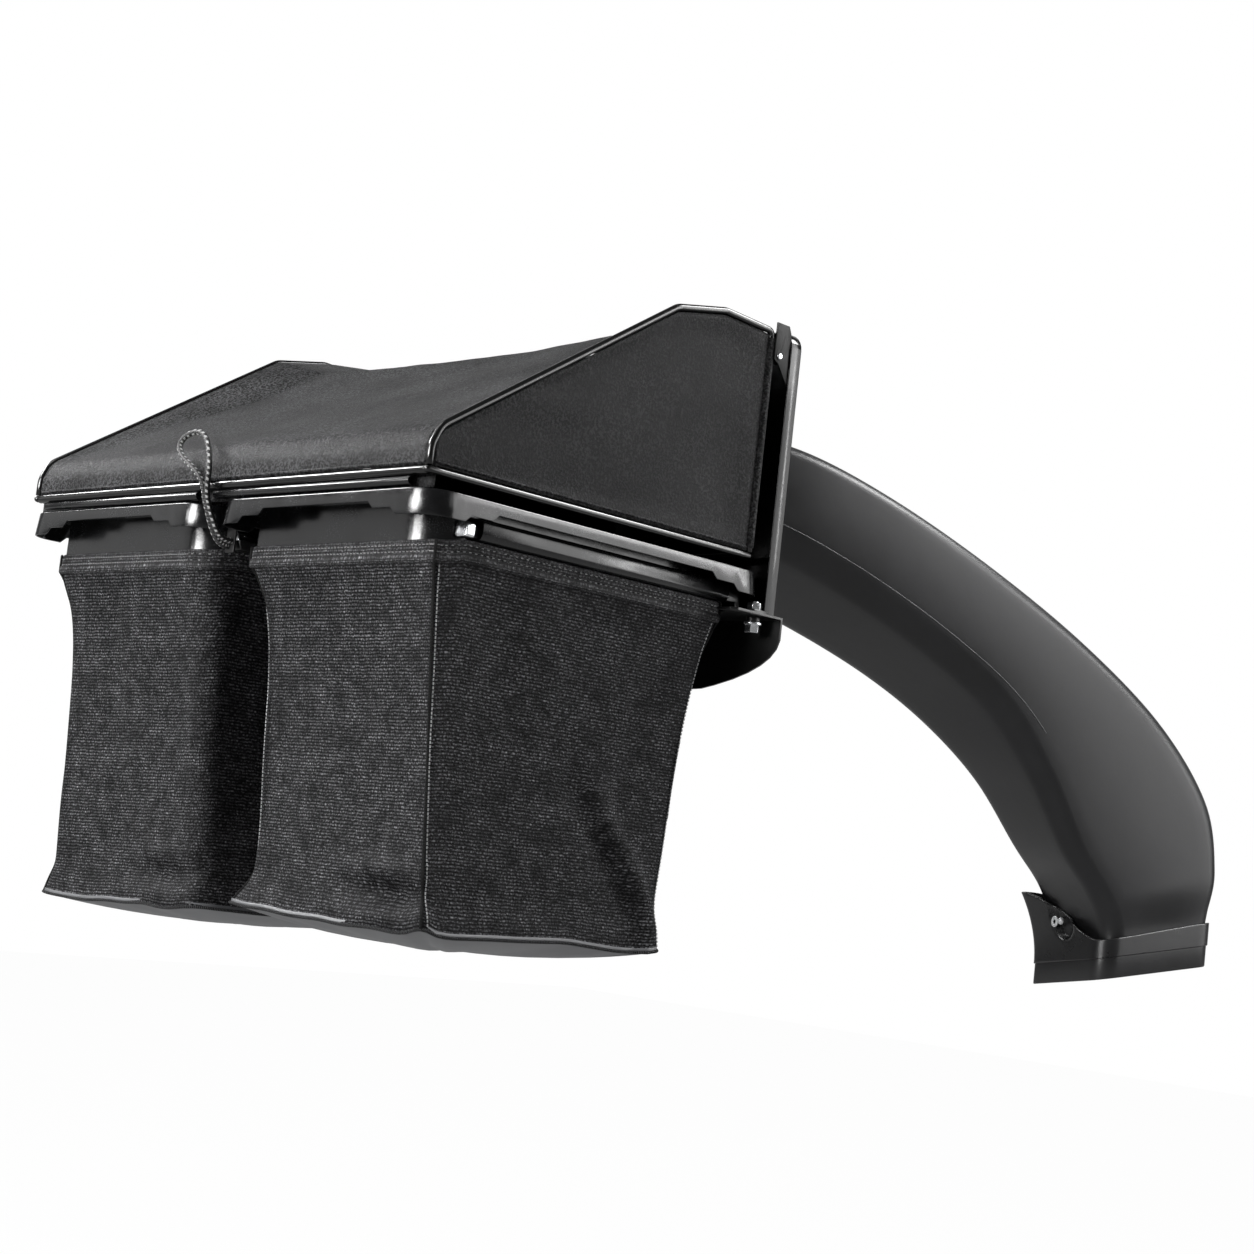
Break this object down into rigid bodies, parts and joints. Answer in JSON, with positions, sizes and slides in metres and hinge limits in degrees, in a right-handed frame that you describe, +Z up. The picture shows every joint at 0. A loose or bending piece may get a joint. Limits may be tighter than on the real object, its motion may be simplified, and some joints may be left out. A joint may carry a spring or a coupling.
{
  "type": "grass catcher",
  "caption": "Rear grass catcher for a ride-on mower: mesh bags in moulded rims under a hinged cloth hood, with a hitch plate, back panel and curved discharge chute.",
  "frame": {"origin": "centre of the hitch plate's front face, level with the middle of its hitch holes", "axes": "+X to the mower's right, +Y forward to the mower, +Z up"},
  "size_m": [1.1853, 1.6145, 0.9348],
  "materials": {
    "moulding": "gloss black moulding",
    "steel": "gloss black coating",
    "zinc": "bright zinc plate",
    "mesh": "black ribbed mesh",
    "pan": "smooth grey vinyl",
    "cloth": "charcoal coated cloth",
    "duct": "satin black moulding",
    "cord": "flecked black braid"
  },
  "bodies": {
    "frame": {"arm_bolt_inner_left": "zinc", "arm_bolt_inner_right": "zinc", "arm_bolt_outer_left": "zinc", "arm_bolt_outer_right": "zinc", "arm_cap_inner_left": "zinc", "arm_cap_inner_right": "zinc", "arm_cap_outer_left": "zinc", "arm_cap_outer_right": "zinc", "arm_nut_inner_left": "zinc", "arm_nut_inner_right": "zinc", "arm_nut_outer_left": "zinc", "arm_nut_outer_right": "zinc", "back_panel": "moulding", "bag_floor_left": "pan", "bag_floor_right": "pan", "bag_left": "mesh", "bag_right": "mesh", "bag_rim_left": "moulding", "bag_rim_right": "moulding", "bolt_spacer_inner_left": "steel", "bolt_spacer_inner_right": "steel", "bolt_spacer_outer_left": "steel", "bolt_spacer_outer_right": "steel", "boot_screw": "zinc", "boot_washer": "zinc", "chute_boot": "duct", "deck_adapter": "duct", "discharge_chute": "duct", "hinge_gusset_left": "steel", "hinge_gusset_right": "steel", "hinge_pin_left": "zinc", "hinge_pin_right": "zinc", "hitch_crossplate": "steel", "latch_arm": "steel", "pin_clip_left": "zinc", "pin_clip_right": "zinc", "runner_inner_left": "moulding", "runner_inner_right": "moulding", "runner_outer_left": "moulding", "runner_outer_right": "moulding", "support_arm_inner_left": "steel", "support_arm_inner_right": "steel", "support_arm_outer_left": "steel", "support_arm_outer_right": "steel"},
    "hood": {"hinge_ear_left": "steel", "hinge_ear_right": "steel", "hood_front_rail_lower": "steel", "hood_front_rail_upper": "steel", "hood_hoop_left": "steel", "hood_hoop_right": "steel", "hood_rear_clip_left": "moulding", "hood_rear_clip_right": "moulding", "hood_rear_rail": "steel", "hood_side_cloth_left": "cloth", "hood_side_cloth_right": "cloth", "hood_side_rail_left": "steel", "hood_side_rail_right": "steel", "hood_top_cloth": "cloth", "latch_hook": "steel", "pull_cord": "cord"}
  },
  "joints": [
    {"name": "hood_hinge", "type": "hinge", "parent": "frame", "child": "hood", "pos_m": [0, -0.044, 0.433], "axis": [-1, 0, 0], "range_deg": [0, 50]}
  ]
}
